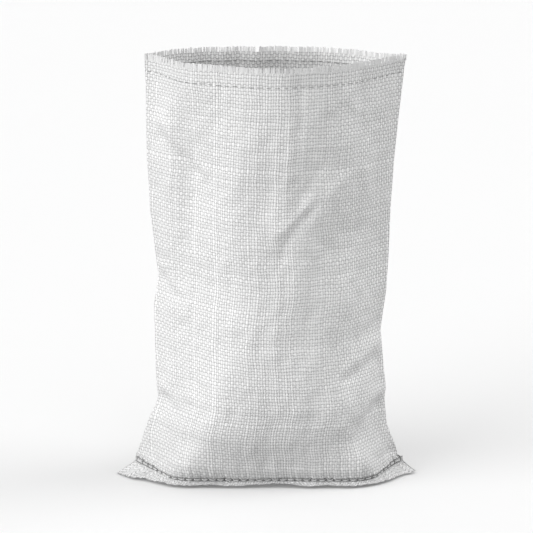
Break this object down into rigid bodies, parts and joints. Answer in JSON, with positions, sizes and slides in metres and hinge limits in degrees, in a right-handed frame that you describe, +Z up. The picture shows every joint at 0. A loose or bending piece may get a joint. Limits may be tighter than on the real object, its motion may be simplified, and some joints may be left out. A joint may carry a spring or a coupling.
{
  "type": "cement sack",
  "caption": "Empty open sack of white woven plastic tape, standing on its sewn hem, with a frayed mouth edge above a line of stitching.",
  "frame": {"origin": "on the floor, in the middle of the sack's box", "axes": "+Z up through the mouth, -Y out of the front with the hem's chain stitch, +X to the right seen from the front"},
  "size_m": [0.4, 0.2082, 0.57],
  "materials": {
    "woven_fabric": "satin",
    "sewing_thread": "matte"
  },
  "bodies": {
    "root": {"sack": "woven_fabric", "hem_chain_stitch": "sewing_thread", "mouth_needle_thread": "sewing_thread", "mouth_looper_thread": "sewing_thread"}
  },
  "joints": []
}
